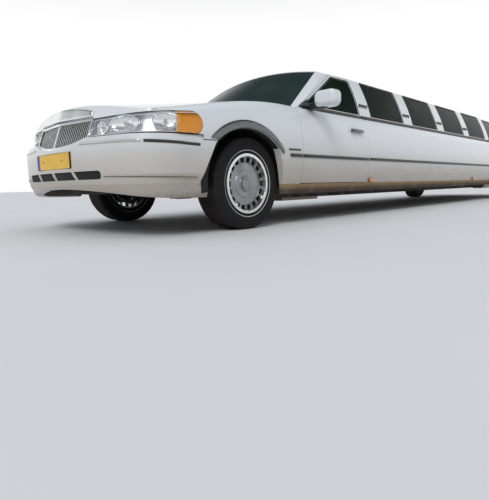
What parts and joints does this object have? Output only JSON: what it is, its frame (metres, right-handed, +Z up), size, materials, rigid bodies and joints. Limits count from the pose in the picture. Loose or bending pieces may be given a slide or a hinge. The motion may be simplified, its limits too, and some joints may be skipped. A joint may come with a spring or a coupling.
{
  "type": "stretch limousine",
  "caption": "White stretch limousine with a long windowed lounge, opening doors, hood and trunk lid, steered front wheels and rolling wheels",
  "frame": {"origin": "centre of the whole car's bounding box in plan, on the ground under the tyres", "axes": "+X is the car's left, -Y is the way it drives, +Z is up"},
  "size_m": [2.37, 9.5698, 1.45],
  "materials": {
    "body_paint": "glossy white paint with road grime low down",
    "window_glass": "dark tinted, glossy",
    "lamp_lens": "clear, glossy",
    "lamp_housing": "bright reflector",
    "tail_lens": "red, glossy",
    "chrome": "bright polished",
    "chassis_steel": "dark, matt and dusty",
    "engine_metal": "dull metal",
    "exhaust_steel": "dull, lightly rusted",
    "tyre_rubber": "matt with a thin white line",
    "wheel_alloy": "machined with a bright lip",
    "cabin_trim": "dark grain",
    "seat_leather": "dark, soft sheen"
  },
  "bodies": {
    "body": {"bar_cabinet": "cabin_trim", "bulkhead": "chassis_steel", "cowl": "body_paint", "dashboard": "cabin_trim", "engine": "engine_metal", "exhaust": "exhaust_steel", "floor_pan": "chassis_steel", "frame_rails": "chassis_steel", "front_bumper": "body_paint", "front_fenders": "body_paint", "front_seats": "seat_leather", "front_suspension": "chassis_steel", "fuel_tank": "exhaust_steel", "grille": "chrome", "headlamp_housings": "lamp_housing", "headlamp_lenses": "lamp_lens", "partition": "cabin_trim", "pillars": "body_paint", "quarter_panels": "body_paint", "radiator": "engine_metal", "rear_axle": "chassis_steel", "rear_bench": "seat_leather", "rear_bumper": "body_paint", "rear_window": "window_glass", "rockers": "body_paint", "roof": "body_paint", "side_bench": "seat_leather", "side_panels": "body_paint", "side_windows": "window_glass", "steering_wheel": "cabin_trim", "tail_lamps": "tail_lens", "tail_panel": "body_paint", "windscreen": "window_glass"},
    "door_front_left_body": {"door_front_left": "body_paint", "door_glass_front_left": "window_glass", "mirror_left": "body_paint"},
    "door_front_right_body": {"door_front_right": "body_paint", "door_glass_front_right": "window_glass", "mirror_right": "body_paint"},
    "door_rear_left_body": {"door_rear_left": "body_paint", "door_glass_rear_left": "window_glass"},
    "door_rear_right_body": {"door_rear_right": "body_paint", "door_glass_rear_right": "window_glass"},
    "hood_body": {"hood": "body_paint"},
    "trunk_body": {"trunk_lid": "body_paint"},
    "knuckle_left_body": {"knuckle_left": "chassis_steel"},
    "knuckle_right_body": {"knuckle_right": "chassis_steel"},
    "wheel_front_left": {"tyre_front_left": "tyre_rubber", "rim_front_left": "wheel_alloy"},
    "wheel_front_right": {"tyre_front_right": "tyre_rubber", "rim_front_right": "wheel_alloy"},
    "wheel_rear_left": {"tyre_rear_left": "tyre_rubber", "rim_rear_left": "wheel_alloy"},
    "wheel_rear_right": {"tyre_rear_right": "tyre_rubber", "rim_rear_right": "wheel_alloy"}
  },
  "joints": [
    {"name": "door_front_left_hinge", "type": "hinge", "parent": "body", "child": "door_front_left_body", "pos_m": [0.993, -3.163, 0.65], "axis": [0, 0, -1], "range_deg": [0, 65]},
    {"name": "door_front_right_hinge", "type": "hinge", "parent": "body", "child": "door_front_right_body", "pos_m": [-0.993, -3.163, 0.65], "axis": [0, 0, 1], "range_deg": [0, 65]},
    {"name": "door_rear_left_hinge", "type": "hinge", "parent": "body", "child": "door_rear_left_body", "pos_m": [0.993, 2.02, 0.65], "axis": [0, 0, -1], "range_deg": [0, 65]},
    {"name": "door_rear_right_hinge", "type": "hinge", "parent": "body", "child": "door_rear_right_body", "pos_m": [-0.993, 2.02, 0.65], "axis": [0, 0, 1], "range_deg": [0, 65]},
    {"name": "hood_hinge", "type": "hinge", "parent": "body", "child": "hood_body", "pos_m": [0, -3.355, 1.005], "axis": [-1, 0, 0], "range_deg": [0, 50]},
    {"name": "trunk_hinge", "type": "hinge", "parent": "body", "child": "trunk_body", "pos_m": [0, 3.895, 1.005], "axis": [1, 0, 0], "range_deg": [0, 75]},
    {"name": "steer_left", "type": "hinge", "parent": "body", "child": "knuckle_left_body", "pos_m": [0.72, -3.74, 0.338], "axis": [0, 0, 1], "range_deg": [-33, 33]},
    {"name": "steer_right", "type": "hinge", "parent": "body", "child": "knuckle_right_body", "pos_m": [-0.72, -3.74, 0.338], "axis": [0, 0, 1], "range_deg": [-33, 33]},
    {"name": "wheel_front_left_spin", "type": "hinge", "parent": "knuckle_left_body", "child": "wheel_front_left", "pos_m": [0.805, -3.74, 0.338], "axis": [1, 0, 0], "continuous": true},
    {"name": "wheel_front_right_spin", "type": "hinge", "parent": "knuckle_right_body", "child": "wheel_front_right", "pos_m": [-0.805, -3.74, 0.338], "axis": [1, 0, 0], "continuous": true},
    {"name": "wheel_rear_left_spin", "type": "hinge", "parent": "body", "child": "wheel_rear_left", "pos_m": [0.8295, 3.35, 0.338], "axis": [1, 0, 0], "continuous": true},
    {"name": "wheel_rear_right_spin", "type": "hinge", "parent": "body", "child": "wheel_rear_right", "pos_m": [-0.8295, 3.35, 0.338], "axis": [1, 0, 0], "continuous": true}
  ],
  "couplings": [
    {"joint": "steer_right", "follows": "steer_left", "ratio": 1}
  ]
}
